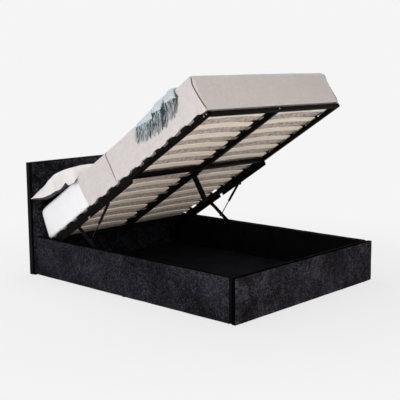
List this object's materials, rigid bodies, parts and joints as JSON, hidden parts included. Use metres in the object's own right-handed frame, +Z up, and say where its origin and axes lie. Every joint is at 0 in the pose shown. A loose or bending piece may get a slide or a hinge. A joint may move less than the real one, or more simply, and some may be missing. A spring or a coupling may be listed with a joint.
{
  "type": "ottoman storage bed",
  "caption": "Upholstered double bed whose sprung slatted platform, with mattress and bedding, lifts at the foot on gas struts over a storage base.",
  "frame": {"origin": "on the floor under the middle of the base and headboard", "axes": "+X across the bed to the right seen from the foot, +Y from the foot to the headboard, +Z up"},
  "size_m": [1.72, 2.142, 1.5695],
  "materials": {
    "velvet": "crushed velvet, near black",
    "panel_board": "board under smooth black lining cloth",
    "timber": "planed softwood",
    "floor_board": "black faced board",
    "dark_plastic": "moulded, matt",
    "zinc_steel": "zinc plated",
    "black_steel": "black powder coat",
    "strut_black": "black, satin",
    "polished_rod": "polished",
    "slat_wood": "pale laminated beech",
    "mattress_ticking": "woven ticking, grey",
    "sheet_cotton": "white cotton",
    "cover_cloth": "warm light grey weave",
    "throw_wool": "light blue knit",
    "pillow_cotton": "off-white cotton"
  },
  "bodies": {
    "base": {"corner_bolts": "zinc_steel", "corner_brackets": "zinc_steel", "floor_bearer": "timber", "foot_board": "panel_board", "foot_cover": "velvet", "glides": "dark_plastic", "headboard_board": "panel_board", "headboard_pad": "velvet", "left_floor_batten": "timber", "left_floor_board": "floor_board", "left_guide_plate": "black_steel", "left_pivot_bracket": "black_steel", "left_rail_board": "panel_board", "left_rail_cover": "velvet", "plate_bolts": "zinc_steel", "right_floor_batten": "timber", "right_floor_board": "floor_board", "right_guide_plate": "black_steel", "right_pivot_bracket": "black_steel", "right_rail_board": "panel_board", "right_rail_cover": "velvet"},
    "left_arm": {"left_lift_arm": "black_steel"},
    "left_cylinder": {"left_strut_cylinder": "strut_black"},
    "left_rod": {"left_strut_rod": "polished_rod"},
    "right_arm": {"right_lift_arm": "black_steel"},
    "right_cylinder": {"right_strut_cylinder": "strut_black"},
    "right_rod": {"right_strut_rod": "polished_rod"},
    "platform": {"bed_cover": "cover_cloth", "centre_leg": "black_steel", "centre_slat_holders": "dark_plastic", "fitted_sheet": "sheet_cotton", "foot_centre_tube": "black_steel", "foot_cross_bar": "black_steel", "foot_end_bar": "black_steel", "head_centre_tube": "black_steel", "head_cross_bar": "black_steel", "head_end_bar": "black_steel", "joint_bolts": "zinc_steel", "left_foot_slats": "slat_wood", "left_foot_tube": "black_steel", "left_head_slats": "slat_wood", "left_head_tube": "black_steel", "left_mount_rail": "black_steel", "left_pillow": "pillow_cotton", "left_slat_holders": "dark_plastic", "leg_foot": "dark_plastic", "mattress": "mattress_ticking", "mount_bolts": "zinc_steel", "right_foot_slats": "slat_wood", "right_foot_tube": "black_steel", "right_head_slats": "slat_wood", "right_head_tube": "black_steel", "right_mount_rail": "black_steel", "right_pillow": "pillow_cotton", "right_slat_holders": "dark_plastic", "throw": "throw_wool", "throw_fringe": "throw_wool"}
  },
  "joints": [
    {"name": "left_arm_swing", "type": "hinge", "parent": "base", "child": "left_arm", "pos_m": [-0.75, 0.26, 0.246], "axis": [1, 0, 0], "range_deg": [-39.15, 0]},
    {"name": "platform_tilt", "type": "hinge", "parent": "left_arm", "child": "platform", "pos_m": [0, 0.52866, 0.43763], "axis": [1, 0, 0], "range_deg": [0, 71.75]},
    {"name": "left_strut_swing", "type": "hinge", "parent": "platform", "child": "left_cylinder", "pos_m": [-0.732, 0.20502, 0.65173], "axis": [1, 0, 0], "range_deg": [0, 24.12]},
    {"name": "left_strut_slide", "type": "slide", "parent": "left_cylinder", "child": "left_rod", "axis": [0, -0.5607, 0.8281], "range_m": [0, 0.1221]},
    {"name": "right_arm_swing", "type": "hinge", "parent": "base", "child": "right_arm", "pos_m": [0.75, 0.26, 0.246], "axis": [1, 0, 0], "range_deg": [-39.15, 0]},
    {"name": "right_strut_swing", "type": "hinge", "parent": "platform", "child": "right_cylinder", "pos_m": [0.732, 0.20502, 0.65173], "axis": [1, 0, 0], "range_deg": [0, 24.12]},
    {"name": "right_strut_slide", "type": "slide", "parent": "right_cylinder", "child": "right_rod", "axis": [0, -0.5607, 0.8281], "range_m": [0, 0.1221]}
  ],
  "couplings": [
    {"joint": "platform_tilt", "follows": "left_arm_swing", "ratio": -1.8327},
    {"joint": "right_arm_swing", "follows": "left_arm_swing", "ratio": 1},
    {"joint": "left_strut_swing", "follows": "left_arm_swing", "ratio": -0.61596},
    {"joint": "left_strut_slide", "follows": "left_arm_swing", "m_per_rad": -0.17858},
    {"joint": "right_strut_swing", "follows": "left_arm_swing", "ratio": -0.61596},
    {"joint": "right_strut_slide", "follows": "left_arm_swing", "m_per_rad": -0.17858}
  ]
}
